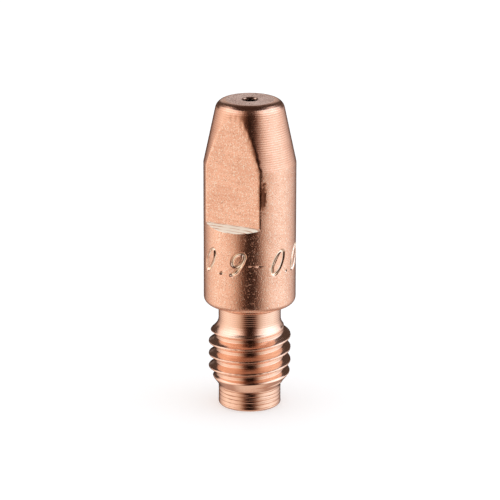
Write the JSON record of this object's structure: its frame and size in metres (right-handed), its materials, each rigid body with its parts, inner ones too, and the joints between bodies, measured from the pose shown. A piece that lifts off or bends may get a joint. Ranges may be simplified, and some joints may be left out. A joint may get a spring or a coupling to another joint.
{
  "type": "welding contact tip",
  "caption": "Screw-in copper contact tip for a wire-feed welding torch: a tapered, drilled nose on a round body with spanner flats, a relief neck, a metric thread and a plain pilot.",
  "frame": {"origin": "centre of the rear face, on the bore's axis, where the tip stands", "axes": "+Z along the axis from the rear face to the nose, -Y the front as pictured, +X to the right"},
  "size_m": [0.0088, 0.0088, 0.03],
  "materials": {
    "copper": "tumbled satin copper"
  },
  "bodies": {
    "root": {"contact_tip": "copper"}
  },
  "joints": []
}
